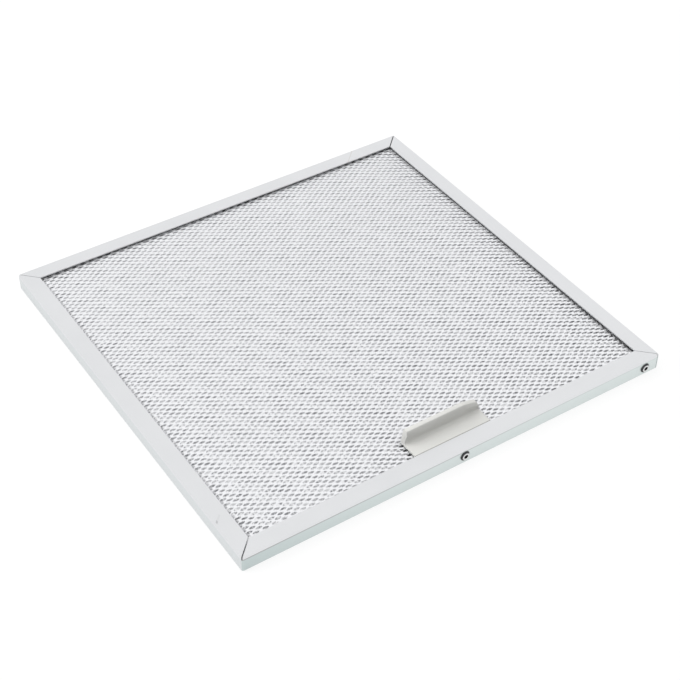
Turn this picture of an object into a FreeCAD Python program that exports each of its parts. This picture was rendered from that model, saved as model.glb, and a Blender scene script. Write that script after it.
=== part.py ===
import FreeCAD, Part
import Sketcher
import os

# Cooker hood grease filter: a folded aluminium channel round a pack of expanded mesh.
# Lengths are millimetres. The filter lies flat, its handle along the front edge at -Y.
SIZES = {
    # Folded strip of the frame
    "frame_width": 292,
    "frame_depth": 280,
    "flange_width": 10.6,
    "strip_thickness": 0.8,
    "corner_radius": 1.6,
    "bend_flat": 0.5,
    "open_mitre_gap": 0.7,
    "close_mitre_gap": 0.25,
    "mitre_land": 0.9,
    "seam_gap": 0.25,
    "tab_length": 22,
    "lap_clearance": 0.1,
    # Expanded mesh of the two faces
    "face_mesh_height": 1.2,
    "long_way": 45,
    "short_way": 30,
    "gap_length": 40.4,
    "gap_width": 26.5,
    "gap_flat": 6,
    "ridge_run": 5.2,
    # Foil layers between the faces
    "foil_height": 1.35,
    "foil_thickness": 0.5,
    "foil_long_way": 132,
    "foil_short_way": 88,
    "foil_gap_length": 54,
    "foil_gap_width": 36,
    "edge_clearance": 0.4,
    # Handle
    "handle_length": 53,
    "handle_thickness": 1.3,
    "handle_slack": 0.2,
    "tongue_clearance": 0.1,
    "lip_setback": 22.6,
    "lip_height": 8.9,
    "lip_thickness": 3.4,
    "lip_lean": 0.3,
    "lip_fillet": 2.2,
    "lip_round": 0.9,
    "end_draft": 1.75,
    "low_end_run": 12,
    "low_end_drop": 3.4,
    "leg_drop": 7.4,
    # Blind rivets
    "rivet_head_diameter": 6.5,
    "rivet_head_height": 1,
    "rivet_rim_height": 0.3,
    "rivet_crown_diameter": 3.4,
    "rivet_shank_diameter": 3.2,
    "rivet_bore_diameter": 1.9,
    "rivet_tail_diameter": 4.4,
    "rivet_tail_length": 2.6,
    "rivet_fit": 0.05,
    "mandrel_head_diameter": 2.8,
    "mandrel_head_length": 0.9,
    "mandrel_recess": 0.4,
    "centre_rivet_height": 5.7,
    "corner_rivet_height": 5.3,
    "corner_rivet_inset": 11,
}
FOIL_LAYERS = 4
# Shares of a pitch: how far the face lattice lies off centre, and each foil lattice off the one below
FACE_SHIFT = 0.25
FOIL_SHIFT = 0.125

doc = FreeCAD.newDocument("GreaseFilter")
sheet = doc.addObject("Spreadsheet::Sheet", "Sizes")
for row, (alias, value) in enumerate(SIZES.items(), start=1):
    sheet.set(f"A{row}", alias)
    sheet.set(f"B{row}", str(value))
    sheet.setAlias(f"B{row}", alias)
doc.recompute()

# Heights that follow from the pack of layers
FRONT = "(-Sizes.frame_depth / 2)"
FOIL_BOTTOM = "(Sizes.strip_thickness + Sizes.face_mesh_height)"
FRONT_MESH_BOTTOM = f"({FOIL_BOTTOM} + {FOIL_LAYERS} * Sizes.foil_height)"
BASE_BOTTOM = f"({FRONT_MESH_BOTTOM} + Sizes.face_mesh_height + Sizes.handle_slack)"
BASE_TOP = f"({BASE_BOTTOM} + Sizes.handle_thickness)"
FLANGE_BOTTOM = f"({BASE_TOP} + Sizes.tongue_clearance)"
FRAME_TOP = f"({FLANGE_BOTTOM} + Sizes.strip_thickness)"
LIP_TOP = f"({BASE_TOP} + Sizes.lip_height)"

# The window inside the flanges, and the mesh edge that stays clear of the rivet tails
WINDOW_WIDTH = "(Sizes.frame_width - 2 * Sizes.flange_width)"
WINDOW_DEPTH = "(Sizes.frame_depth - 2 * Sizes.flange_width)"
HANDLE_GRIP = "(Sizes.strip_thickness + Sizes.handle_thickness)"
LAP_GRIP = "(2 * Sizes.strip_thickness + Sizes.lap_clearance)"
MESH_INSET = (f"({HANDLE_GRIP} + Sizes.rivet_tail_length + Sizes.mandrel_head_length"
              " + Sizes.edge_clearance)")
MESH_WIDTH = f"(Sizes.frame_width - 2 * {MESH_INSET})"
MESH_DEPTH = f"(Sizes.frame_depth - 2 * {MESH_INSET})"
CORNER_RIVET_X = "(Sizes.frame_width / 2 - Sizes.corner_rivet_inset)"
RIVET_HOLE = "(Sizes.rivet_shank_diameter + 2 * Sizes.rivet_fit)"


def new_body(name):
    body = doc.addObject("PartDesign::Body", name)
    body.AllowCompound = True
    return body


def origin_feature(body, role):
    return next(feature for feature in body.Origin.OriginFeatures if feature.Role == role)


def new_sketch(body, name, role="XY_Plane", offset=None):
    sketch = body.newObject("Sketcher::SketchObject", name)
    sketch.AttachmentSupport = [(origin_feature(body, role), "")]
    sketch.MapMode = "FlatFace"
    if offset:
        sketch.setExpression("AttachmentOffset.Base.z", offset)
    return sketch


def fix_point(sketch, line, end, x, y):
    """Ties one end of a line to signed distances from the sketch's origin."""
    for kind, value in (("DistanceX", x), ("DistanceY", y)):
        index = sketch.addConstraint(Sketcher.Constraint(kind, -1, 1, line, end, 1.0))
        sketch.setExpression(f"Constraints[{index}]", value)


def polygon(sketch, points):
    """A closed outline whose corners are all pairs of expressions."""
    first = sketch.GeometryCount
    count = len(points)
    values = [tuple(sketch.evalExpression(part) for part in point) for point in points]
    for index in range(count):
        start = FreeCAD.Vector(*values[index], 0)
        stop = FreeCAD.Vector(*values[(index + 1) % count], 0)
        sketch.addGeometry(Part.LineSegment(start, stop))
    for index in range(count):
        following = first + (index + 1) % count
        sketch.addConstraint(Sketcher.Constraint("Coincident", first + index, 2, following, 1))
        fix_point(sketch, first + index, 1, *points[index])


def rectangle(sketch, width, depth):
    corners = ((-1, -1), (1, -1), (1, 1), (-1, 1))
    polygon(sketch, [(f"{x} * {width} / 2", f"{y} * {depth} / 2") for x, y in corners])


def pad(body, name, sketch, length):
    feature = body.newObject("PartDesign::Pad", name)
    feature.Profile = sketch
    feature.setExpression("Length", length)
    return feature


def pocket(body, name, sketch, length=None):
    """A cut down to the given length, or right through both ways."""
    feature = body.newObject("PartDesign::Pocket", name)
    feature.Profile = sketch
    if length:
        feature.setExpression("Length", length)
    else:
        feature.Type = "ThroughAll"
        feature.SideType = "Symmetric"
    return feature


def fillet_edges(body, name, base, radius, wanted):
    """Rounds the edges of the base feature that the test picks out."""
    feature = body.newObject("PartDesign::Fillet", name)
    feature.Base = (base, edge_names(base, wanted))
    feature.setExpression("Radius", radius)
    return feature


def chamfer_edges(body, name, base, size, wanted):
    feature = body.newObject("PartDesign::Chamfer", name)
    feature.Base = (base, edge_names(base, wanted))
    feature.setExpression("Size", size)
    return feature


def edge_names(base, wanted):
    doc.recompute()
    return [f"Edge{index}" for index, edge in enumerate(base.Shape.Edges, start=1) if wanted(edge)]


def value_of(expression):
    return sheet.evalExpression(expression)


def spans(edge, low, high):
    """Whether an edge reaches from one height to the other, and no further."""
    box = edge.BoundBox
    return abs(box.ZMin - low) < 1e-6 and abs(box.ZMax - high) < 1e-6


def folded_frame():
    """One strip of sheet: wall, two flanges, open mitres and a lapped corner."""
    body = new_body("frame")
    block = pad(body, "frame_block", new_sketch(body, "frame_outline"), FRAME_TOP)
    rectangle(block.Profile[0], "Sizes.frame_width", "Sizes.frame_depth")
    channel = pocket(body, "frame_channel", new_sketch(body, "channel_outline", offset=FLANGE_BOTTOM),
                     f"{FLANGE_BOTTOM} - Sizes.strip_thickness")
    rectangle(channel.Profile[0], "(Sizes.frame_width - 2 * Sizes.strip_thickness)",
              "(Sizes.frame_depth - 2 * Sizes.strip_thickness)")
    bottom, top = 0, value_of(FRAME_TOP)
    low, high = value_of("Sizes.strip_thickness"), value_of(FLANGE_BOTTOM)
    inner = fillet_edges(body, "channel_corners", channel, "Sizes.corner_radius - Sizes.strip_thickness",
                         lambda edge: spans(edge, low, high))
    outer = fillet_edges(body, "frame_corners", inner, "Sizes.corner_radius",
                         lambda edge: spans(edge, bottom, top))
    chamfer_edges(body, "frame_bends", outer, "Sizes.bend_flat",
                  lambda edge: spans(edge, bottom, bottom) or spans(edge, top, top))
    window = pocket(body, "frame_window", new_sketch(body, "window_outline", offset=FRAME_TOP),
                    FRAME_TOP)
    rectangle(window.Profile[0], WINDOW_WIDTH, WINDOW_DEPTH)
    lapped_end(body)
    mitres(body)
    rivet_holes(body, [("0", "Sizes.centre_rivet_height"),
                       (CORNER_RIVET_X, "Sizes.corner_rivet_height")])
    return body


def lapped_end(body):
    """The strip's inner end lies behind the front wall, past an open seam at the corner."""
    tab_right = "(Sizes.frame_width / 2 - Sizes.strip_thickness)"
    tab_left = f"({tab_right} - Sizes.tab_length)"
    tab_front = f"({FRONT} + Sizes.strip_thickness + Sizes.lap_clearance)"
    tab_back = f"({tab_front} + Sizes.strip_thickness)"
    seam_right = "(Sizes.frame_width / 2 - Sizes.corner_radius)"
    seam_left = f"({seam_right} - Sizes.seam_gap)"
    seam_back = f"({FRONT} + Sizes.strip_thickness)"
    tab = pad(body, "lap_tab", new_sketch(body, "tab_outline", offset="Sizes.strip_thickness"),
              f"{FLANGE_BOTTOM} - Sizes.strip_thickness")
    polygon(tab.Profile[0], [(tab_left, tab_front), (tab_right, tab_front),
                             (tab_right, tab_back), (tab_left, tab_back)])
    seam = pocket(body, "lap_seam", new_sketch(body, "seam_outline", offset=FRAME_TOP), FRAME_TOP)
    polygon(seam.Profile[0], [(seam_left, FRONT), (seam_right, FRONT),
                              (seam_right, seam_back), (seam_left, seam_back)])


def mitres(body):
    """A slit along the diagonal of each corner, through both flanges.

    It starts a gap's width out in the window, and leaves some land at the rounded corner."""
    corners = (("near", -1, -1, "open_mitre_gap"), ("far", 1, 1, "open_mitre_gap"),
               ("left", -1, 1, "close_mitre_gap"), ("right", 1, -1, "close_mitre_gap"))
    for corner, side_x, side_y, gap in corners:
        turn = {(1, 1): 45, (-1, 1): 135, (-1, -1): 225, (1, -1): 315}[side_x, side_y]
        for face, height in (("lower", "0"), ("upper", FLANGE_BOTTOM)):
            slit = body.newObject("PartDesign::SubtractiveBox", f"{corner}_{face}_mitre")
            slit.setExpression("Length", f"(Sizes.flange_width - Sizes.corner_radius + Sizes.{gap}) * sqrt(2)"
                               " + Sizes.corner_radius - Sizes.mitre_land")
            slit.setExpression("Width", f"Sizes.{gap}")
            slit.setExpression("Height", "Sizes.strip_thickness")
            slit.Placement.Rotation = FreeCAD.Rotation(FreeCAD.Vector(0, 0, 1), turn)
            half = f"Sizes.{gap} / 2 / sqrt(2)"
            slit.setExpression("Placement.Base.x",
                               f"{side_x} * ({WINDOW_WIDTH} / 2 - Sizes.{gap}) + {side_y} * {half}")
            slit.setExpression("Placement.Base.y",
                               f"{side_y} * ({WINDOW_DEPTH} / 2 - Sizes.{gap}) - {side_x} * {half}")
            slit.setExpression("Placement.Base.z", height)


def rivet_holes(body, centres):
    """Round holes from the front, through what the rivets clamp."""
    sketch = new_sketch(body, f"{body.Name}_hole_outline", "XZ_Plane", "Sizes.frame_depth / 2")
    for index, (x, z) in enumerate(centres):
        place = FreeCAD.Vector(value_of(x), value_of(z), 0)
        sketch.addGeometry(Part.Circle(place, FreeCAD.Vector(0, 0, 1), value_of(RIVET_HOLE) / 2))
        diameter = sketch.addConstraint(Sketcher.Constraint("Diameter", index, value_of(RIVET_HOLE)))
        sketch.setExpression(f"Constraints[{diameter}]", RIVET_HOLE)
        fix_point(sketch, index, 3, x, z)
    return pocket(body, f"{body.Name}_holes", sketch, f"{HANDLE_GRIP} + Sizes.lap_clearance")


def whole_steps(span, gap, pitch, shift=0):
    """An odd count of places, a pitch apart, whose gaps reach into the span."""
    return f"(2 * floor(({span} / 2 + {gap} / 2) / {pitch} - {shift}) + 1)"


def flat_block(name, width, depth, bottom, height):
    """A plain block centred on the filter."""
    block = doc.addObject("Part::Box", name)
    block.setExpression("Length", width)
    block.setExpression("Width", depth)
    block.setExpression("Height", height)
    block.setExpression("Placement.Base.x", f"-{width} / 2")
    block.setExpression("Placement.Base.y", f"-{depth} / 2")
    block.setExpression("Placement.Base.z", bottom)
    return block


def tapered_gap(centre, height):
    """One six-sided opening of the expanded mesh: its walls slope up to narrow ridges."""
    half_length, half_width, half_flat = (value_of(f"Sizes.gap_{side} / 2")
                                          for side in ("length", "width", "flat"))
    outline = [(-half_length, 0), (-half_flat, -half_width), (half_flat, -half_width),
               (half_length, 0), (half_flat, half_width), (-half_flat, half_width)]
    foot = 1 - value_of("Sizes.ridge_run") / half_width
    low = [centre + foot * FreeCAD.Vector(x, y, 0) for x, y in outline]
    high = [centre + FreeCAD.Vector(x, y, height) for x, y in outline]
    sides = [[low[index - 1], low[index], high[index], high[index - 1]] for index in range(len(outline))]
    faces = [Part.Face(Part.makePolygon(side + side[:1])) for side in (low, high, *sides)]
    return Part.Solid(Part.Shell(faces))


def face_meshes():
    """Expanded sheet with ridged strands, and the same sheet turned over for the other face."""
    columns = int(value_of(whole_steps(WINDOW_WIDTH, "Sizes.gap_length", "Sizes.long_way")))
    rows = int(value_of(whole_steps(WINDOW_DEPTH, "Sizes.gap_width", "Sizes.short_way", FACE_SHIFT)))
    long_way, short_way = value_of("Sizes.long_way"), value_of("Sizes.short_way")
    bottom, height = value_of(FRONT_MESH_BOTTOM), value_of("Sizes.face_mesh_height")
    solids = []
    for column in range(columns):
        for row in range(rows):
            x = (column - (columns - 1) / 2) * long_way
            y = (row - (rows - 1) / 2 + FACE_SHIFT) * short_way
            solids.append(tapered_gap(FreeCAD.Vector(x, y, bottom), height))
            solids.append(tapered_gap(FreeCAD.Vector(x + long_way / 2, y - short_way / 2, bottom), height))
    width, depth = value_of(WINDOW_WIDTH), value_of(WINDOW_DEPTH)
    window = Part.makeBox(width, depth, height, FreeCAD.Vector(-width / 2, -depth / 2, bottom))
    inside = Part.makeCompound(solids).common(window).Solids
    gaps = doc.addObject("Part::Feature", "mesh_gaps")
    gaps.Shape = Part.makeCompound([gap for gap in inside if round(gap.BoundBox.ZMin - bottom, 3) == 0])
    front = doc.addObject("Part::Cut", "front_mesh")
    front.Base = flat_block("mesh_blank", MESH_WIDTH, MESH_DEPTH, FRONT_MESH_BOTTOM, "Sizes.face_mesh_height")
    front.Tool = gaps
    back = doc.addObject("Part::Mirroring", "back_mesh")
    back.Source = front
    back.Normal = FreeCAD.Vector(0, 0, 1)
    back.setExpression("Base.z", f"{FOIL_BOTTOM} + {FOIL_LAYERS} * Sizes.foil_height / 2")
    return [front, back]


def diamond(x, y):
    half_length, half_width = "Sizes.foil_gap_length / 2", "Sizes.foil_gap_width / 2"
    return [(f"{x} - {half_length}", y), (x, f"{y} - {half_width}"),
            (f"{x} + {half_length}", y), (x, f"{y} + {half_width}")]


def foil_layer(number):
    """A thin sheet with staggered gaps, held half way up a rim that fills its share of the channel.

    Each layer is shifted from the one below, so that its strands lie over gaps."""
    name = f"inner_layer_{number + 1}"
    body = new_body(name)
    height, thickness = "Sizes.foil_height", "Sizes.foil_thickness"
    sheet_bottom = f"({height} - {thickness}) / 2"
    blank = pad(body, f"{name}_blank", new_sketch(body, f"{name}_outline", offset=sheet_bottom), thickness)
    rectangle(blank.Profile[0], MESH_WIDTH, MESH_DEPTH)
    columns = whole_steps(WINDOW_WIDTH, "Sizes.foil_gap_length", "Sizes.foil_long_way")
    rows = whole_steps(WINDOW_DEPTH, "Sizes.foil_gap_width", "Sizes.foil_short_way")
    side_x, side_y = (-1) ** number, (-1) ** (number // 2)
    first_x = f"(({side_x} * {FOIL_SHIFT} - ({columns} - 1) / 2) * Sizes.foil_long_way)"
    first_y = f"(({side_y} * {FOIL_SHIFT} - ({rows} - 1) / 2) * Sizes.foil_short_way)"
    gap = pocket(body, f"{name}_gap", new_sketch(body, f"{name}_gap_outline", offset=height), height)
    polygon(gap.Profile[0], diamond(first_x, first_y))
    polygon(gap.Profile[0], diamond(f"({first_x} - {side_x} * Sizes.foil_long_way / 2)",
                                    f"({first_y} - {side_y} * Sizes.foil_short_way / 2)"))
    lattice = body.newObject("PartDesign::LinearPattern", f"{name}_lattice")
    lattice.Originals = [gap]
    lattice.Direction = (origin_feature(body, "X_Axis"), [""])
    lattice.Direction2 = (origin_feature(body, "Y_Axis"), [""])
    lattice.setExpression("Occurrences", columns)
    lattice.setExpression("Length", f"({columns} - 1) * Sizes.foil_long_way")
    lattice.setExpression("Occurrences2", rows)
    lattice.setExpression("Length2", f"({rows} - 1) * Sizes.foil_short_way")
    body.Tip = lattice
    rim = pad(body, f"{name}_rim", new_sketch(body, f"{name}_rim_outline"), height)
    rectangle(rim.Profile[0], MESH_WIDTH, MESH_DEPTH)
    rectangle(rim.Profile[0], WINDOW_WIDTH, WINDOW_DEPTH)
    body.setExpression("Placement.Base.z", f"{FOIL_BOTTOM} + {number} * {height}")
    return body


def moulded_handle():
    """An angled grip: leg behind the wall, tongue under the flange, base on the mesh, lip to pull.

    The lip's top runs down towards its right end."""
    body = new_body("handle")
    leg_front = f"({FRONT} + Sizes.strip_thickness)"
    leg_back = f"({leg_front} + Sizes.handle_thickness)"
    leg_bottom = f"({BASE_TOP} - Sizes.leg_drop)"
    lip_front = f"({FRONT} + Sizes.lip_setback)"
    lip_back = f"({lip_front} + Sizes.lip_thickness)"
    section = new_sketch(body, "handle_section", "YZ_Plane")
    polygon(section, [(leg_front, leg_bottom), (leg_back, leg_bottom), (leg_back, BASE_BOTTOM),
                      (lip_back, BASE_BOTTOM), (lip_back, LIP_TOP),
                      (f"{lip_front} + Sizes.lip_lean", LIP_TOP), (lip_front, BASE_TOP),
                      (leg_front, BASE_TOP)])
    bar = pad(body, "handle_bar", section, "Sizes.handle_length")
    bar.SideType = "Symmetric"
    front, back = value_of(lip_front), value_of(lip_back)
    base_top, lip_top = value_of(BASE_TOP), value_of(LIP_TOP)
    curved = fillet_edges(body, "lip_curve", bar, "Sizes.lip_fillet",
                          lambda edge: spans(edge, base_top, base_top) and edge.BoundBox.XLength > 1
                          and abs(edge.BoundBox.YMin - front) < 1e-6)
    rounded = fillet_edges(body, "lip_rounding", curved, "Sizes.lip_round",
                           lambda edge: spans(edge, lip_top, lip_top) and edge.BoundBox.XLength > 1)
    end = "Sizes.handle_length / 2"
    draft = pocket(body, "end_slope", new_sketch(body, "end_outline", "XZ_Plane"))
    polygon(draft.Profile[0], [(end, BASE_TOP), (f"{end} + Sizes.end_draft", BASE_TOP),
                               (f"{end} + Sizes.end_draft", LIP_TOP), (f"{end} - Sizes.end_draft", LIP_TOP)])
    both = body.newObject("PartDesign::Mirrored", "both_ends")
    both.Originals = [draft]
    both.MirrorPlane = (origin_feature(body, "YZ_Plane"), [""])
    body.Tip = both
    low_end = pocket(body, "low_end", new_sketch(body, "low_end_outline", "XZ_Plane"))
    polygon(low_end.Profile[0], [(f"{end} - Sizes.low_end_run", LIP_TOP), (end, LIP_TOP),
                                 (end, f"{LIP_TOP} - Sizes.low_end_drop")])
    rivet_holes(body, [("0", "Sizes.centre_rivet_height")])
    return body


def revolved(name, points, x, z):
    """A turned form whose axis runs into the front wall from its outer face."""
    body = new_body(name)
    profile = new_sketch(body, f"{name}_profile", "YZ_Plane")
    polygon(profile, points)
    turn = body.newObject("PartDesign::Revolution", f"{name}_turn")
    turn.Profile = profile
    turn.ReferenceAxis = (profile, ["H_Axis"])
    turn.Angle = 360
    body.setExpression("Placement.Base.x", x)
    body.setExpression("Placement.Base.y", FRONT)
    body.setExpression("Placement.Base.z", z)
    return body


def rivet(name, grip, x, z):
    bore, shank = "Sizes.rivet_bore_diameter / 2", "Sizes.rivet_shank_diameter / 2"
    head, crown = "Sizes.rivet_head_diameter / 2", "Sizes.rivet_crown_diameter / 2"
    tail, tail_end = "Sizes.rivet_tail_diameter / 2", f"{grip} + Sizes.rivet_tail_length"
    points = [("-Sizes.rivet_head_height", bore), (tail_end, bore), (tail_end, tail), (grip, tail),
              (grip, shank), ("0", shank), ("0", head), ("-Sizes.rivet_rim_height", head),
              ("-Sizes.rivet_head_height", crown)]
    return revolved(name, points, x, z)


def mandrel(name, grip, x, z):
    stem = "Sizes.rivet_bore_diameter / 2 - Sizes.rivet_fit"
    head, seat = "Sizes.mandrel_head_diameter / 2", f"{grip} + Sizes.rivet_tail_length"
    broken_end = "-Sizes.rivet_head_height + Sizes.mandrel_recess"
    points = [(broken_end, "0"), (f"{seat} + Sizes.mandrel_head_length", "0"),
              (f"{seat} + Sizes.mandrel_head_length", head), (seat, head), (seat, stem),
              (broken_end, stem)]
    return revolved(name, points, x, z)


def fasteners():
    """The handle's rivet and the lap's rivet, with what is left of their mandrels."""
    places = (("handle", HANDLE_GRIP, "0", "Sizes.centre_rivet_height"),
              ("lap", LAP_GRIP, CORNER_RIVET_X, "Sizes.corner_rivet_height"))
    groups = []
    for label, make in (("rivets", rivet), ("rivet_mandrels", mandrel)):
        group = doc.addObject("Part::Compound", label)
        group.Links = [make(f"{place}_{make.__name__}", grip, x, z) for place, grip, x, z in places]
        groups.append(group)
    return groups


nodes = [folded_frame(), moulded_handle(), *fasteners(), *face_meshes()]
nodes += [foil_layer(number) for number in range(FOIL_LAYERS)]
doc.recompute()

for item in doc.Objects:
    if "Invalid" in item.State or "Error" in item.State:
        raise RuntimeError(f"{item.Name} failed to build: {item.State}")
for node in nodes:
    if node.Shape.isNull() or not node.Shape.isValid():
        raise RuntimeError(f"{node.Label} has no valid shape")

os.makedirs("parts", exist_ok=True)
for node in nodes:
    node.Shape.exportStep(f"parts/{node.Label}.step")
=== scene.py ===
import math
import bmesh
import bpy
from mathutils import Matrix, Vector, noise


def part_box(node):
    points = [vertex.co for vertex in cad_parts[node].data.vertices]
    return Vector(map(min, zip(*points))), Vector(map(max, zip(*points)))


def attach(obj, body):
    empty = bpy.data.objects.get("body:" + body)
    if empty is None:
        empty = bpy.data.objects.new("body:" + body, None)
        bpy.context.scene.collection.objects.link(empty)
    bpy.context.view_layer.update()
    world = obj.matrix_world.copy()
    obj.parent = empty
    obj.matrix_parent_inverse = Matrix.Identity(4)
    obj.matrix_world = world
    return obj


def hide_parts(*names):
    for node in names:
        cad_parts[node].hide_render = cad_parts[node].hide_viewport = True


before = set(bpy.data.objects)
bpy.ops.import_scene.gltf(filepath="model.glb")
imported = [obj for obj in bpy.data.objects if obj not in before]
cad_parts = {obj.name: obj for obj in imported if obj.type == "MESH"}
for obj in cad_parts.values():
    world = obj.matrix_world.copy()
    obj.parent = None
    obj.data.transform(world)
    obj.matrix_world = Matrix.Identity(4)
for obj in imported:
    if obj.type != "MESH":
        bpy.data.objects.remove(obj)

mm = 0.001
touch = 1e-7  # points closer than this are one
noise.seed_set(7)  # without it the wander of the strands differs from run to run
scene = bpy.context.scene
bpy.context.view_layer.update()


class Wire:
    def __init__(self, recipe, socket):
        self.recipe = recipe
        self.socket = socket

    def other(self, output):  # another output of the same node
        return Wire(self.recipe, self.socket.node.outputs[output])

    def calc(self, operation, *values):
        return self.recipe.add("ShaderNodeMath", {"operation": operation}, dict(enumerate(values)))

    def __add__(self, value): return self.calc("ADD", self, value)
    def __radd__(self, value): return self.calc("ADD", value, self)
    def __sub__(self, value): return self.calc("SUBTRACT", self, value)
    def __rsub__(self, value): return self.calc("SUBTRACT", value, self)
    def __mul__(self, value): return self.calc("MULTIPLY", self, value)
    def __rmul__(self, value): return self.calc("MULTIPLY", value, self)
    def __truediv__(self, value): return self.calc("DIVIDE", self, value)
    def __gt__(self, value): return self.calc("GREATER_THAN", self, value)
    def __lt__(self, value): return self.calc("LESS_THAN", self, value)
    def __abs__(self): return self.calc("ABSOLUTE", self)
    def larger(self, value): return self.calc("MAXIMUM", self, value)
    def zigzag(self, size): return self.calc("PINGPONG", self, size)
    def root(self): return self.calc("SQRT", self)


class Recipe:
    def __init__(self, tree):
        self.tree = tree

    def add(self, kind, settings=None, inputs=None, output=0):
        node = self.tree.nodes.new(kind)
        for key, value in (settings or {}).items():
            setattr(node, key, value)
        for key, value in (inputs or {}).items():
            self.feed(node.inputs[key], value)
        return Wire(self, node.outputs[output])

    def feed(self, socket, value):
        if isinstance(value, Wire):
            self.tree.links.new(value.socket, socket)
        else:
            socket.default_value = value


class Finish(Recipe):
    def __init__(self, name, fixed):
        self.material = bpy.data.materials.new(name)
        self.material.use_nodes = True
        super().__init__(self.material.node_tree)
        self.shader = self.tree.nodes["Principled BSDF"]
        self.give(fixed)

    def give(self, values):
        for socket, value in values.items():
            self.feed(self.shader.inputs[socket], value)

    def place(self):
        return self.add("ShaderNodeTexCoord", output="Object")

    def axes(self):
        x = self.add("ShaderNodeSeparateXYZ", {}, {"Vector": self.place()})
        return x, x.other("Y"), x.other("Z")

    def grain(self, scale, stretch=(1, 1, 1), detail=2.0):
        spot = self.add("ShaderNodeMapping", {}, {"Vector": self.place(), "Scale": stretch})
        return self.add("ShaderNodeTexNoise", {}, {"Vector": spot, "Scale": scale, "Detail": detail})

    def blend(self, amount, first, second):
        return self.add("ShaderNodeMix", {"data_type": "RGBA"}, {0: amount, 6: first, 7: second}, output=2)

    def bump(self, height, strength, distance):
        self.give({"Normal": self.add("ShaderNodeBump", {}, {
            "Height": height, "Strength": strength, "Distance": distance})})


satin = {
    "pale": (0.80, 0.807, 0.82, 1), "deep": (0.74, 0.75, 0.765, 1), "cloudScale": 38.0,
    "rolledLong": 40, "rolledFine": 2600, "rolledBump": 0.12, "rolledDepth": 0.03 * mm,
    "roughness": 0.40, "rolledRough": 0.10, "cloudRough": 0.08, "runSplit": 6 * mm,
    # the wall colours are painted shade
    "wall": (0.70, 0.755, 0.748, 1), "wallShade": (0.565, 0.635, 0.633, 1), "sideWallShade": 0.30,
    "frontFace": 139.3 * mm, "sideFace": 145.3 * mm, "wallTop": 9.5 * mm, "wallLength": 292 * mm,
    # the crease colour is painted shade along the front bend
    "creaseShade": (0.43, 0.435, 0.44, 1), "creaseLow": 8.7 * mm, "creaseFar": 0.1, "creaseGain": 0.9,
    "topFace": 10 * mm, "nick": (0.45, 0.45, 0.46, 1), "nickAmount": 0.6, "nickDepth": 3,
    "nickLine": 33.1 * mm, "nickWidth": 0.8 * mm, "nickX": 144.1 * mm, "nickHalf": 0.6 * mm,
    "scuffAmount": 0.14, "scuffX": 142.0 * mm, "scuffHalf": 1.8 * mm,
    "notch": (0.10, 0.10, 0.10, 1), "notchAmount": 0.9, "notchLine": 6 * mm, "notchWidth": 0.55 * mm,
    "notchX": 144 * mm, "notchLow": 9.1 * mm,
    "warm": (0.50, 0.44, 0.36, 1), "scratchAmount": 0.35, "scratchLine": 29.8 * mm,
    "scratchWidth": 0.3 * mm, "scratchY": 129 * mm,
}


def satinAluminium():
    finish = Finish("satinAluminium", {"Metallic": 1.0})
    x, y, z = finish.axes()
    long, fine = satin["rolledLong"], satin["rolledFine"]
    sideRun = (abs(x) - abs(y)) > satin["runSplit"]  # left and right runs of the strip
    rolled = finish.grain(1.0, (long, fine, fine)) * (1 - sideRun) + finish.grain(1.0, (fine, long, fine)) * sideRun
    cloud = finish.grain(satin["cloudScale"])
    metal = finish.blend(cloud, satin["deep"], satin["pale"])

    # painted shade: the walls darker than the flanges, darker still towards the near end of the front, with a line of
    # painted shade along the front bend
    along = 0.5 - x / satin["wallLength"]
    frontWall = (y < -satin["frontFace"]) * (z < satin["wallTop"])
    sideWall = (abs(x) > satin["sideFace"]) * (z < satin["wallTop"])
    # painted shade along the front bend, strongest at the near end
    creaseShade = frontWall * (z > satin["creaseLow"]) * (satin["creaseFar"] + satin["creaseGain"] * along)
    wallShade = frontWall * along * along * along + satin["sideWallShade"] * sideWall * (1 - frontWall)
    metal = finish.blend(frontWall, metal, satin["wall"])
    metal = finish.blend(wallShade, metal, satin["wallShade"])
    metal = finish.blend(creaseShade, metal, satin["creaseShade"])

    # wear: a nick with a scuff on the left flange, the near mitre over the bend, a scratch on the far flange
    upper = z > satin["topFace"]
    diagonal = x - y
    onLine = {mark: abs(diagonal + satin[mark + "Line"]) < satin[mark + "Width"]
              for mark in ("nick", "notch", "scratch")}
    scuffed = onLine["nick"] * upper
    nick = scuffed * (abs(x + satin["nickX"]) < satin["nickHalf"])
    scuff = scuffed * (abs(x + satin["scuffX"]) < satin["scuffHalf"])
    notch = onLine["notch"] * (x < -satin["notchX"]) * (z > satin["notchLow"])
    scratch = onLine["scratch"] * (y > satin["scratchY"]) * (x > 0) * upper
    metal = finish.blend(satin["nickAmount"] * nick + satin["scuffAmount"] * scuff, metal, satin["nick"])
    metal = finish.blend(satin["notchAmount"] * notch, metal, satin["notch"])
    finish.give({
        "Base Color": finish.blend(satin["scratchAmount"] * scratch, metal, satin["warm"]),
        "Roughness": satin["roughness"] + satin["rolledRough"] * (rolled - 0.5) + satin["cloudRough"] * (cloud - 0.5)})
    finish.bump(rolled - satin["nickDepth"] * nick, satin["rolledBump"], satin["rolledDepth"])
    return finish.material


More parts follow.
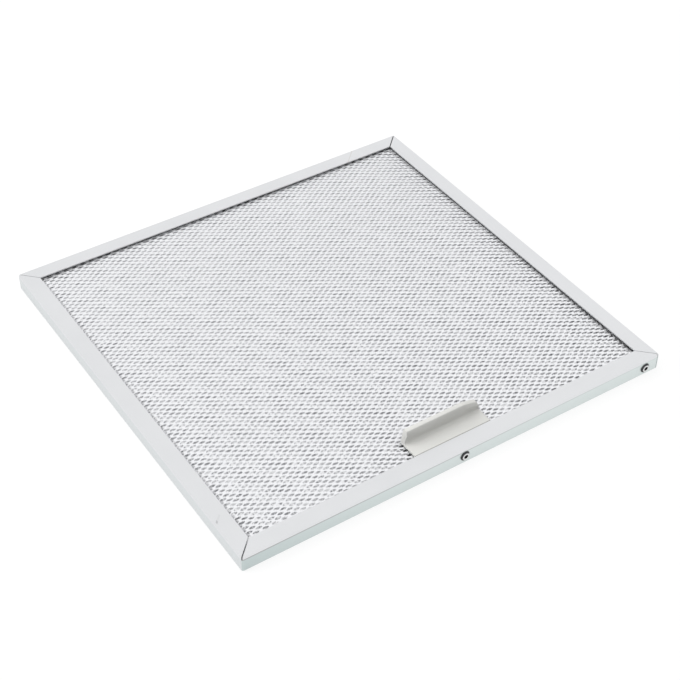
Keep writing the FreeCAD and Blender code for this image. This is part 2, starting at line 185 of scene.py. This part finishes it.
bright = {
    "strandScale": 420.0, "patchScale": 30.0, "strandRough": 0.16, "patchRough": 0.10,
    "bumpScale": 2200.0, "bumpStrength": 0.15, "bumpDepth": 0.05 * mm,
    # the far, rim and under-grip colours below are painted shade
    "far": (0.25, 0.255, 0.27, 1), "farSpan": 540 * mm,
    "rim": (0.13, 0.13, 0.135, 1), "rimX": 136.5 * mm, "rimY": 131.2 * mm, "rimLift": 0.75 * mm,
    "liftBase": 0.1, "liftSpan": 129.4 * mm, "scallop": 0.35 * mm, "scallopPitch": 2 * mm,
    "underGripShade": (0.05, 0.05, 0.052, 1), "coveredX": 27.6 * mm, "coveredY": 114 * mm, "coveredLow": 5.6 * mm,
    "edgeX": 132.4 * mm, "edgeY": 126.4 * mm, "edgeDull": 0.85,
}
meshTone = {"pale": (0.965, 0.97, 0.99, 1), "deep": (0.88, 0.887, 0.91, 1), "roughness": 0.34, "rimShade": 1.0}
foilTone = {"pale": (0.975, 0.98, 0.99, 1), "deep": (0.89, 0.895, 0.91, 1), "roughness": 0.38,
            "farShade": 0.36, "gripShade": 0.95}


def meshAluminium(name, tone):
    finish = Finish(name, {})
    x, y, z = finish.axes()
    strand = finish.grain(bright["strandScale"])
    patch = finish.grain(bright["patchScale"])
    metal = finish.blend(0.5 * strand + 0.5 * patch, tone["deep"], tone["pale"])
    if "farShade" in tone:  # painted shade, deeper towards the far right corner
        metal = finish.blend(tone["farShade"] * (0.5 + (x + y) / bright["farSpan"]), metal, bright["far"])
    if "rimShade" in tone:  # painted shade: scalloped dark line below the far and right flanges, wider at the right corner
        scallop = bright["scallop"] * (y.zigzag(bright["scallopPitch"]) / (bright["scallopPitch"] / 2) - 1)
        lifted = (bright["liftBase"] - y / bright["liftSpan"]).larger(0.0)
        rim = (x - bright["rimX"] + bright["rimLift"] * lifted).larger(y - bright["rimY"]) > scallop
        metal = finish.blend(tone["rimShade"] * rim, metal, bright["rim"])
    if "gripShade" in tone:  # painted shade below the grip's base
        underGripShade = (abs(x) < bright["coveredX"]) * (y < -bright["coveredY"]) * (z > bright["coveredLow"])
        metal = finish.blend(tone["gripShade"] * underGripShade, metal, bright["underGripShade"])
    # less of a mirror beside the flanges, where bare metal would show the dark channel
    edge = (abs(x) - bright["edgeX"]).larger(y - bright["edgeY"]) > 0.0
    finish.give({
        "Base Color": metal, "Metallic": 1 - bright["edgeDull"] * edge,
        "Roughness": tone["roughness"] + bright["strandRough"] * (strand - 0.5) + bright["patchRough"] * (patch - 0.5)})
    finish.bump(finish.grain(bright["bumpScale"]), bright["bumpStrength"], bright["bumpDepth"])
    return finish.material


plastic = {
    "pale": (0.73, 0.73, 0.705, 1), "deep": (0.68, 0.68, 0.655, 1), "fineScale": 3200.0, "fineDetail": 3.0,
    "cloudScale": 60.0, "cloudShare": 0.6, "fineShare": 0.4, "shine": 0.4, "roughness": 0.50, "fineRough": 0.14,
    "bumpStrength": 0.25, "bumpDepth": 0.04 * mm,
    # painted shadow where the base goes in under the flange
    "tuckShadow": (0.16, 0.16, 0.15, 1), "tuckedAmount": 0.6, "tuckedY": 128.1 * mm,
}


def gripPlastic():
    finish = Finish("gripPlastic", {"Specular IOR Level": plastic["shine"]})
    fine = finish.grain(plastic["fineScale"], detail=plastic["fineDetail"])
    cloud = finish.grain(plastic["cloudScale"])
    tuckShadow = finish.axes()[1] < -plastic["tuckedY"]  # painted shadow: dark line where the base goes in under the flange
    speckle = plastic["cloudShare"] * cloud + plastic["fineShare"] * fine
    moulded = finish.blend(speckle, plastic["deep"], plastic["pale"])
    finish.give({"Base Color": finish.blend(plastic["tuckedAmount"] * tuckShadow, moulded, plastic["tuckShadow"]),
                 "Roughness": plastic["roughness"] + plastic["fineRough"] * (fine - 0.5)})
    finish.bump(fine, plastic["bumpStrength"], plastic["bumpDepth"])
    return finish.material


rivetLook = {
    "pale": (0.80, 0.81, 0.81, 1), "deep": (0.66, 0.67, 0.67, 1), "turnedScale": 900.0,
    "roughness": 0.26, "turnedRough": 0.16, "bumpStrength": 0.2, "bumpDepth": 0.06 * mm,
    "split": 60 * mm, "secondX": 135 * mm, "firstZ": 5.7 * mm, "secondDrop": 0.4 * mm,
    # shade and the hole colour are painted shade: a dark ring and arc round the head, a near-black bore
    "shade": (0.04, 0.04, 0.042, 1), "rimInner": 2.25 * mm, "rimOuter": 3.3 * mm, "rimAmount": 0.25,
    "arcShadeAmount": 0.72, "arcShadeX": 0.8, "arcShadeZ": 0.6, "arcShadeEdge": -0.6 * mm,
    "holeShade": (0.02, 0.02, 0.02, 1), "holeRadius": 1.4 * mm,
}


def rivetAluminium():
    finish = Finish("rivetAluminium", {"Metallic": 1.0})
    wide, _, high = finish.axes()
    turned = finish.grain(rivetLook["turnedScale"])
    second = wide > rivetLook["split"]  # which of the two it is
    x = wide - rivetLook["secondX"] * second
    z = high - rivetLook["firstZ"] + rivetLook["secondDrop"] * second
    radius = (x * x + z * z).root()
    # painted shade: a darker ring round the head, darkest in an arc at its upper left
    rim = (radius > rivetLook["rimInner"]) * (radius < rivetLook["rimOuter"])
    arcShade = rim * (z * rivetLook["arcShadeZ"] - x * rivetLook["arcShadeX"] > rivetLook["arcShadeEdge"])
    metal = finish.blend(turned, rivetLook["deep"], rivetLook["pale"])
    metal = finish.blend(rivetLook["rimAmount"] * rim + rivetLook["arcShadeAmount"] * arcShade, metal, rivetLook["shade"])
    # painted shade: near-black in and round the bore
    finish.give({"Base Color": finish.blend(radius < rivetLook["holeRadius"], metal, rivetLook["holeShade"]),
                 "Roughness": rivetLook["roughness"] + rivetLook["turnedRough"] * turned})
    finish.bump(turned, rivetLook["bumpStrength"], rivetLook["bumpDepth"])
    return finish.material


steel = {"pale": (0.07, 0.068, 0.065, 1), "deep": (0.015, 0.015, 0.016, 1), "brokenScale": 2600.0,
         "brokenDetail": 4.0, "roughness": 0.42, "brokenRough": 0.3, "bumpStrength": 0.8, "bumpDepth": 0.15 * mm}


def mandrelSteel():
    finish = Finish("mandrelSteel", {"Metallic": 1.0})
    broken = finish.grain(steel["brokenScale"], detail=steel["brokenDetail"])
    finish.give({"Base Color": finish.blend(broken, steel["deep"], steel["pale"]),
                 "Roughness": steel["roughness"] + steel["brokenRough"] * broken})
    finish.bump(broken, steel["bumpStrength"], steel["bumpDepth"])
    return finish.material


finishes = {
    "frame": satinAluminium(),
    "mesh": meshAluminium("meshAluminium", meshTone),
    "foil": meshAluminium("foilAluminium", foilTone),
    "grip": gripPlastic(),
    "rivet": rivetAluminium(),
    "mandrel": mandrelSteel(),
}
print("finishes made")


def allOf(bm):
    return bm.verts[:] + bm.edges[:] + bm.faces[:]


def vertsOf(geometry):
    return [part for part in geometry if isinstance(part, bmesh.types.BMVert)]


def around(faces):
    parts = dict.fromkeys(faces)  # keeps its order, where a set does not
    for face in faces:
        parts.update(dict.fromkeys(face.edges))
        parts.update(dict.fromkeys(face.verts))
    return list(parts)


def cut(bm, geometry, point, normal, trim=False):
    bmesh.ops.bisect_plane(bm, geom=geometry, dist=touch, plane_co=point, plane_no=normal, clear_outer=trim)


def rounded(bm, edges, radius, segments):
    bmesh.ops.bevel(bm, geom=edges, offset=radius, offset_type="OFFSET", affect="EDGES", segments=segments,
                    profile=0.5, material=-1, clamp_overlap=True)


def sharpEdges(bm, degrees):
    bm.normal_update()
    return [edge for edge in bm.edges if len(edge.link_faces) == 2
            and edge.calc_face_angle() > math.radians(degrees)]


def finished(bm, name, material, nodes, smooth=None):
    mesh = bpy.data.meshes.new(name)
    bm.to_mesh(mesh)
    bm.free()
    mesh.materials.append(material)
    if smooth:
        mesh.shade_smooth()
        mesh.set_sharp_from_angle(angle=math.radians(smooth))
    piece = bpy.data.objects.new(name, mesh)
    scene.collection.objects.link(piece)
    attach(piece, "root")
    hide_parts(*nodes)
    print(name, len(mesh.polygons), "faces")
    return piece


strip = {
    "width": 292 * mm, "depth": 280 * mm, "height": 11 * mm, "thickness": 0.8 * mm, "flange": 10.6 * mm,
    "cornerRadius": 1.6 * mm, "cornerSegments": 8, "bendRadius": 1.0 * mm, "bendSegments": 4, "land": 0.6 * mm,
    "openMitre": 0.7 * mm, "closeMitre": 0.25 * mm, "seam": 0.25 * mm,
    "tabLength": 22 * mm, "lapClearance": 0.1 * mm, "smooth": 32,
}


def foldedFrame():
    halfX, halfY, top = strip["width"] / 2, strip["depth"] / 2, strip["height"]
    windowX, windowY = halfX - strip["flange"], halfY - strip["flange"]
    bm = bmesh.new()
    bmesh.ops.create_cube(bm, size=1)
    bmesh.ops.scale(bm, vec=(2 * halfX, 2 * halfY, top), verts=bm.verts)
    bmesh.ops.translate(bm, vec=(0, 0, top / 2), verts=bm.verts)
    upright = [e for e in bm.edges if abs(e.verts[0].co.z - e.verts[1].co.z) > top / 2]
    rounded(bm, upright, strip["cornerRadius"], strip["cornerSegments"])
    rims = [e for e in bm.edges if abs(e.verts[0].co.z - e.verts[1].co.z) < touch]
    rounded(bm, rims, strip["bendRadius"], strip["bendSegments"])

    def flats():
        bm.normal_update()
        return [f for f in bm.faces if abs(f.normal.z) > 0.999]

    # the window, cut out of the upper and the lower face
    for point, normal in (((windowX, 0, 0), (1, 0, 0)), ((-windowX, 0, 0), (1, 0, 0)),
                          ((0, windowY, 0), (0, 1, 0)), ((0, -windowY, 0), (0, 1, 0))):
        cut(bm, around(flats()), point, normal)
    middle = [f for f in flats() if abs(f.calc_center_median().x) < windowX
              and abs(f.calc_center_median().y) < windowY]
    bmesh.ops.delete(bm, geom=middle, context="FACES")

    # mitre slits from the window's corners towards the rounded corners
    for sideX, sideY, gap in ((-1, -1, "openMitre"), (1, 1, "openMitre"),
                              (-1, 1, "closeMitre"), (1, -1, "closeMitre")):
        along = Vector((sideX, sideY, 0)).normalized()
        across = Vector((-sideY, sideX, 0)).normalized()
        start = Vector((sideX * windowX, sideY * windowY, 0))
        pivot = Vector((sideX * (halfX - strip["cornerRadius"]), sideY * (halfY - strip["cornerRadius"]), 0))
        stop = pivot + along * (strip["cornerRadius"] - strip["land"])
        half = strip[gap] / 2

        def cornerFlats():
            return [f for f in flats() if any(v.co.x * sideX > windowX - strip[gap]
                                              and v.co.y * sideY > windowY - strip[gap] for v in f.verts)]

        for point, normal in ((start + across * half, across), (start - across * half, across), (stop, along)):
            cut(bm, around(cornerFlats()), point, normal)
        slit = [f for f in cornerFlats() if abs((f.calc_center_median() - start).dot(across)) < half
                and (f.calc_center_median() - stop).dot(along) < 0]
        bmesh.ops.delete(bm, geom=slit, context="FACES")

    # open seam where the strip's end is lapped, near the right end of the front wall
    seamRight = halfX - strip["cornerRadius"]
    seamLeft = seamRight - strip["seam"]

    def frontFaces():
        return [f for f in bm.faces if f.calc_center_median().y < -halfY + strip["bendRadius"]]

    for place in (seamLeft, seamRight):
        cut(bm, around(frontFaces()), (place, 0, 0), (1, 0, 0))
    seam = [f for f in frontFaces() if seamLeft < f.calc_center_median().x < seamRight]
    bmesh.ops.delete(bm, geom=seam, context="FACES")

    bmesh.ops.remove_doubles(bm, verts=bm.verts, dist=touch)
    bm.normal_update()
    bmesh.ops.solidify(bm, geom=bm.faces[:], thickness=strip["thickness"])

    # the lapped end behind the front wall
    tabRight = halfX - strip["thickness"]
    tabFront = -halfY + strip["thickness"] + strip["lapClearance"]
    tab = bmesh.ops.create_cube(bm, size=1)["verts"]
    bmesh.ops.scale(bm, vec=(strip["tabLength"], strip["thickness"], top - 2 * strip["thickness"]), verts=tab)
    bmesh.ops.translate(bm, verts=tab, vec=(tabRight - strip["tabLength"] / 2,
                                            tabFront + strip["thickness"] / 2, top / 2))
    return finished(bm, "foldedFrame", finishes["frame"], ["frame"], smooth=strip["smooth"])


faceSheet = {"longWay": 6.0 * mm, "shortWay": 4.0 * mm, "strand": 1.05 * mm, "bond": 1.6 * mm, "tilt": 33,
             "thickness": 0.2 * mm, "skew": 0.018, "wander": 0.13 * mm, "wanderPitch": 14 * mm,
             "buckle": 0.3 * mm, "bucklePitch": 60 * mm, "weld": 0.01 * mm, "fill": 0.99}
foilSheet = {"longWay": 7.6 * mm, "shortWay": 5.0 * mm, "strand": 1.15 * mm, "bond": 2.0 * mm, "tilt": 31,
             "thickness": 0.12 * mm, "skew": 0.0, "wander": 0.5 * mm, "wanderPitch": 19 * mm,
             "buckle": 0.0 * mm, "bucklePitch": 60 * mm, "weld": 0.01 * mm, "fill": 0.99}
stack = {"backShift": (1.3 * mm, 0.7 * mm), "foilTurns": ((4, 7.0), (3, -5.0), (2, 11.0), (1, -9.0)),
         "foilStep": (1.7 * mm, 1.1 * mm)}


def expandedSheet(name, node, sizes, material, turn=0.0, shift=(0, 0), faceDown=False):
    low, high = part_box(node)
    middle, room = (low + high) / 2, (high - low) / 2
    longWay, shortWay, bond = sizes["longWay"], sizes["shortWay"], sizes["bond"]
    rise = sizes["strand"] * math.sin(math.radians(sizes["tilt"]))
    run = sizes["strand"] * math.cos(math.radians(sizes["tilt"]))
    bm = bmesh.new()

    # one bond, drawn up from its lower edge in two steps
    left = bm.verts.new((-bond / 2, -run, -rise))
    right = bm.verts.new((bond / 2, -run, -rise))
    rung = bm.edges.new((left, right))
    for step in range(2):
        grown = bmesh.ops.extrude_edge_only(bm, edges=[rung])["geom"]
        bmesh.ops.translate(bm, vec=(0, run, rise), verts=vertsOf(grown))
        rung = next(e for e in grown if isinstance(e, bmesh.types.BMEdge)
                    and abs(e.verts[0].co.y - e.verts[1].co.y) < touch)
    # and the two strands that leave its right end, one up to each neighbour
    rightEnds = sorted((e for e in bm.edges if all(v.co.x > 0 for v in e.verts)),
                       key=lambda e: e.verts[0].co.y + e.verts[1].co.y)
    for end, sign in zip(rightEnds, (-1, 1)):
        grown = bmesh.ops.extrude_edge_only(bm, edges=[end])["geom"]
        bmesh.ops.translate(bm, verts=vertsOf(grown),
                            vec=(longWay / 2 - bond, sign * (shortWay / 2 - run), -sign * rise))
    # the staggered neighbour, then rows and columns of the pair
    pair = bmesh.ops.duplicate(bm, geom=allOf(bm))["geom"]
    bmesh.ops.translate(bm, vec=(longWay / 2, shortWay / 2, 0), verts=vertsOf(pair))
    spread = abs(math.sin(math.radians(turn)))
    columns = math.ceil((room.x + room.y * spread) / longWay) + 1
    rows = math.ceil((room.y + room.x * (spread + sizes["skew"])) / shortWay) + 1
    bmesh.ops.translate(bm, vec=(-columns * longWay, -rows * shortWay, 0), verts=bm.verts)
    for pitch, steps in (((longWay, 0, 0), 2 * columns), ((0, shortWay, 0), 2 * rows)):
        bmesh.ops.spin(bm, geom=allOf(bm), axis=(0, 0, 1), dvec=pitch, angle=0, steps=steps, use_duplicate=True)
    bmesh.ops.remove_doubles(bm, verts=bm.verts, dist=sizes["weld"])

    lean = Matrix.Identity(4)
    lean[1][0] = sizes["skew"]
    bmesh.ops.transform(bm, matrix=Matrix.Rotation(math.radians(turn), 4, "Z") @ lean, verts=bm.verts)
    bmesh.ops.translate(bm, vec=(shift[0], shift[1], 0), verts=bm.verts)
    for vert in bm.verts:  # the strands are never quite in line
        wave = noise.noise_vector(vert.co / sizes["wanderPitch"] + Vector((0, 0, middle.z / mm)))
        vert.co.x += wave.x * sizes["wander"]
        vert.co.y += wave.y * sizes["wander"]
        vert.co.z += noise.noise(vert.co / sizes["bucklePitch"]) * sizes["buckle"]
    for point, normal in (((low.x, 0, 0), (-1, 0, 0)), ((high.x, 0, 0), (1, 0, 0)),
                          ((0, low.y, 0), (0, -1, 0)), ((0, high.y, 0), (0, 1, 0))):
        cut(bm, allOf(bm), point, normal, trim=True)
    bmesh.ops.recalc_face_normals(bm, faces=bm.faces)
    if bm.faces[:][0].normal.z < 0:
        bmesh.ops.reverse_faces(bm, faces=bm.faces)
    bmesh.ops.solidify(bm, geom=bm.faces[:], thickness=sizes["thickness"])
    if faceDown:
        bmesh.ops.rotate(bm, cent=(0, 0, 0), matrix=Matrix.Rotation(math.pi, 3, "X"), verts=bm.verts)
    # as high as its layer
    heights = [v.co.z for v in bm.verts]
    fit = sizes["fill"] * (high.z - low.z) / (max(heights) - min(heights))
    bmesh.ops.translate(bm, vec=(0, 0, -(max(heights) + min(heights)) / 2), verts=bm.verts)
    bmesh.ops.scale(bm, vec=(1, 1, fit), verts=bm.verts)
    bmesh.ops.translate(bm, vec=(0, 0, middle.z), verts=bm.verts)
    return finished(bm, name, material, [node])


grip = {
    "length": 53 * mm, "thickness": 1.3 * mm, "legDrop": 7.4 * mm, "baseTop": 10.1 * mm, "lipSetback": 22.6 * mm,
    "lipHeight": 8.9 * mm, "lipThickness": 3.4 * mm, "lipLean": -0.9 * mm, "bevelRun": 1.0 * mm,
    "bevelDrop": 2.6 * mm, "fillet": 2.2 * mm, "lipRound": 0.4 * mm, "backRound": 0.9 * mm,
    "endDraft": 1.75 * mm, "lowEndRun": 12 * mm, "lowEndDrop": 3.4 * mm, "lowEndSteps": 7, "lowEndCurve": 1.4,
    "edge": 0.22 * mm, "edgeAngle": 40, "smooth": 30,
    "filletSegments": 7, "lipSegments": 3, "backSegments": 4, "edgeSegments": 2,
}


def mouldedGrip():
    wall = -strip["depth"] / 2 + strip["thickness"]
    lip = -strip["depth"] / 2 + grip["lipSetback"]
    lipBack, lipFront = lip + grip["lipThickness"], lip + grip["lipLean"]
    baseTop, lipTop = grip["baseTop"], grip["baseTop"] + grip["lipHeight"]
    baseLow, legLow = baseTop - grip["thickness"], baseTop - grip["legDrop"]
    bm = bmesh.new()
    section = [(wall, legLow), (wall + grip["thickness"], legLow), (wall + grip["thickness"], baseLow),
               (lipBack, baseLow), (lipBack, lipTop), (lipFront + grip["bevelRun"], lipTop),
               (lipFront, lipTop - grip["bevelDrop"]), (lip, baseTop), (wall, baseTop)]
    face = bm.faces.new([bm.verts.new((-grip["length"] / 2, y, z)) for y, z in section])
    far = bmesh.ops.extrude_face_region(bm, geom=[face])["geom"]
    bmesh.ops.translate(bm, vec=(grip["length"], 0, 0), verts=vertsOf(far))

    def above(vert):  # 0 at the base, 1 at the lip's top
        return max(0.0, (vert.co.z - baseTop) / grip["lipHeight"])

    for vert in bm.verts:
        vert.co.x -= math.copysign(grip["endDraft"] * above(vert), vert.co.x)
    bmesh.ops.recalc_face_normals(bm, faces=bm.faces)

    def alongX(y, z):
        near = 10 * touch
        return [e for e in bm.edges if all(abs(v.co.y - y) < near and abs(v.co.z - z) < near for v in e.verts)]

    rounded(bm, alongX(lip, baseTop), grip["fillet"], grip["filletSegments"])
    rounded(bm, alongX(lipFront + grip["bevelRun"], lipTop), grip["lipRound"], grip["lipSegments"])
    rounded(bm, alongX(lipBack, lipTop), grip["backRound"], grip["backSegments"])
    rounded(bm, sharpEdges(bm, grip["edgeAngle"]), grip["edge"], grip["edgeSegments"])
    # the lip's top bends down towards its right end
    lowStart = grip["length"] / 2 - grip["lowEndRun"]
    for step in range(grip["lowEndSteps"]):
        cut(bm, allOf(bm), (lowStart + step / grip["lowEndSteps"] * grip["lowEndRun"], 0, 0), (1, 0, 0))
    for vert in bm.verts:
        past = max(0.0, (vert.co.x - lowStart) / grip["lowEndRun"])
        vert.co.z -= grip["lowEndDrop"] * past ** grip["lowEndCurve"] * above(vert)
    return finished(bm, "mouldedGrip", finishes["grip"], ["handle"], smooth=grip["smooth"])


blindRivet = {
    "head": 6.5 * mm, "headHeight": 1.0 * mm, "crown": 3.4 * mm, "crownDrop": 0.86, "shank": 3.2 * mm,
    "bore": 1.9 * mm, "boreLip": 0.85, "boreFlare": 1.12, "tail": 4.4 * mm, "tailLength": 2.6 * mm,
    "dome": [(0.56, 0.93), (0.30, 0.99), (0.10, 1.0), (0.0, 0.985)],  # shares of the head's height and radius
    "stem": 1.8 * mm, "stemHead": 2.8 * mm, "stemHeadLength": 0.9 * mm, "stemShoulder": 0.6, "stemTaper": 0.7,
    "recess": 0.4 * mm, "breakHollow": 0.1 * mm, "breakEdge": 0.15 * mm, "breakShare": 0.8,
    "headSides": 32, "stemSides": 20,
    "places": [(0.0, 5.7 * mm, 2.1 * mm), (135 * mm, 5.3 * mm, 1.7 * mm)],  # along the wall, height, grip
    "smooth": 50,
}


def turnedPiece(bm, profile, place, height, steps):
    wall = -strip["depth"] / 2
    verts = [bm.verts.new((place, wall + depth, height + radius)) for depth, radius in profile]
    edges = [bm.edges.new(pair) for pair in zip(verts, verts[1:])]
    bmesh.ops.spin(bm, geom=verts + edges, cent=(place, wall, height), axis=(0, 1, 0), dvec=(0, 0, 0),
                   angle=2 * math.pi, steps=steps, use_merge=True)


def rivets():
    size = blindRivet
    head, tall, bore = size["head"] / 2, size["headHeight"], size["bore"] / 2
    shank, tail, crown = size["shank"] / 2, size["tail"] / 2, size["crown"] / 2
    bm = bmesh.new()
    for place, height, gripDepth in size["places"]:
        end = gripDepth + size["tailLength"]
        profile = [(end, bore), (-size["boreLip"] * tall, bore), (-tall, size["boreFlare"] * bore), (-tall, crown),
                   (-size["crownDrop"] * tall, (crown + head) / 2)]
        profile += [(-depth * tall, share * head) for depth, share in size["dome"]]
        profile += [(0, shank), (gripDepth, shank), (gripDepth, tail), (end, tail), (end, bore)]
        turnedPiece(bm, profile, place, height, size["headSides"])
    bmesh.ops.remove_doubles(bm, verts=bm.verts, dist=touch)
    bmesh.ops.recalc_face_normals(bm, faces=bm.faces)
    return finished(bm, "blindRivets", finishes["rivet"], ["rivets"], smooth=size["smooth"])


def mandrels():
    size = blindRivet
    stem, stemHead, stemEnd = size["stem"] / 2, size["stemHead"] / 2, size["stemHeadLength"]
    bm = bmesh.new()
    for place, height, gripDepth in size["places"]:
        seat = gripDepth + size["tailLength"]
        front = -size["headHeight"] + size["recess"]
        profile = [(front + size["breakHollow"], 0), (front, size["breakShare"] * stem),
                   (front + size["breakEdge"], stem), (seat, stem), (seat, stemHead),
                   (seat + size["stemShoulder"] * stemEnd, stemHead), (seat + stemEnd, size["stemTaper"] * stemHead),
                   (seat + stemEnd, 0)]
        turnedPiece(bm, profile, place, height, size["stemSides"])
    bmesh.ops.remove_doubles(bm, verts=bm.verts, dist=touch)
    bmesh.ops.recalc_face_normals(bm, faces=bm.faces)
    return finished(bm, "brokenMandrels", finishes["mandrel"], ["rivet_mandrels"],
                    smooth=size["smooth"])


foldedFrame()
expandedSheet("frontSheet", "front_mesh", faceSheet, finishes["mesh"])
expandedSheet("backSheet", "back_mesh", faceSheet, finishes["mesh"],
              shift=stack["backShift"], faceDown=True)
for number, turn in stack["foilTurns"]:
    expandedSheet(f"foilLayer{number}", f"inner_layer_{number}", foilSheet, finishes["foil"],
                  turn=turn, shift=(number * stack["foilStep"][0], number * stack["foilStep"][1]))
mouldedGrip()
rivets()
mandrels()
print("pieces made")


studio = {
    "floorSize": 6.0, "floorDrop": 0.02 * mm, "floorGlow": 0.82, "floorShade": 0.20, "floorDiffuse": 0.52,
    "fill": 0.34,
    "lamps": [("overhead", (0.0, 0.3, 1.60), 3.2, 36.0), ("left", (-1.7, 0.75, 0.75), 1.4, 19.0)],
    "eye": (-386.0 * mm, -592.1 * mm, 615.7 * mm), "right": (0.8352, -0.5499, 0.0053), "up": (0.362, 0.556, 0.748),
    "lens": 79.49, "sensor": 36.0, "near": 0.05, "far": 50.0,
}


def seenDirectly(recipe):
    camera = recipe.add("ShaderNodeLightPath", output="Is Camera Ray")
    return camera.larger(camera.other("Is Glossy Ray")).larger(camera.other("Is Transmission Ray"))


def paleFloor():
    bm = bmesh.new()
    bmesh.ops.create_grid(bm, x_segments=1, y_segments=1, size=studio["floorSize"])
    bmesh.ops.translate(bm, vec=(0, 0, -studio["floorDrop"]), verts=bm.verts)
    mesh = bpy.data.meshes.new("floor")
    bm.to_mesh(mesh)
    bm.free()
    material = bpy.data.materials.new("paleFloor")
    material.use_nodes = True
    recipe = Recipe(material.node_tree)
    recipe.tree.nodes.remove(recipe.tree.nodes["Principled BSDF"])
    glow = recipe.add("ShaderNodeEmission", {}, {"Color": (1, 1, 1, 1), "Strength": studio["floorGlow"]})
    lit = recipe.add("ShaderNodeBsdfDiffuse", {}, {"Color": (studio["floorShade"],) * 3 + (1,)})
    plain = recipe.add("ShaderNodeBsdfDiffuse", {}, {"Color": (studio["floorDiffuse"],) * 3 + (1,)})
    white = recipe.add("ShaderNodeAddShader", {}, {0: glow, 1: lit})
    both = recipe.add("ShaderNodeMixShader", {}, {0: seenDirectly(recipe), 1: plain, 2: white})
    recipe.feed(recipe.tree.nodes["Material Output"].inputs["Surface"], both)
    mesh.materials.append(material)
    floor = bpy.data.objects.new("floor", mesh)
    scene.collection.objects.link(floor)


def whiteRoom():
    world = bpy.data.worlds.new("whiteRoom")
    world.use_nodes = True
    scene.world = world
    recipe = Recipe(world.node_tree)
    background = recipe.tree.nodes["Background"]
    recipe.feed(background.inputs["Color"], (1, 1, 1, 1))
    recipe.feed(background.inputs["Strength"], studio["fill"] + (1 - studio["fill"]) * seenDirectly(recipe))


def softboxes():
    for name, place, size, power in studio["lamps"]:
        lamp = bpy.data.lights.new(name, "AREA")
        lamp.shape, lamp.size, lamp.energy = "SQUARE", size, power
        box = bpy.data.objects.new(name, lamp)
        box.location = place
        box.rotation_euler = (-Vector(place)).to_track_quat("-Z", "Y").to_euler()
        box.visible_glossy = False  # the white room is what the metal shows
        scene.collection.objects.link(box)


def photoCamera():
    right, up = Vector(studio["right"]).normalized(), Vector(studio["up"])
    up = (up - right * up.dot(right)).normalized()
    lens = bpy.data.cameras.new("camera")
    lens.lens, lens.sensor_width = studio["lens"], studio["sensor"]
    lens.clip_start, lens.clip_end = studio["near"], studio["far"]
    camera = bpy.data.objects.new("camera", lens)
    turn = Matrix((right, up, right.cross(up))).transposed()
    camera.matrix_world = Matrix.Translation(Vector(studio["eye"])) @ turn.to_4x4()
    scene.collection.objects.link(camera)
    scene.camera = camera


paleFloor()
whiteRoom()
softboxes()
photoCamera()
scene.view_settings.view_transform = "Standard"
print("studio ready")
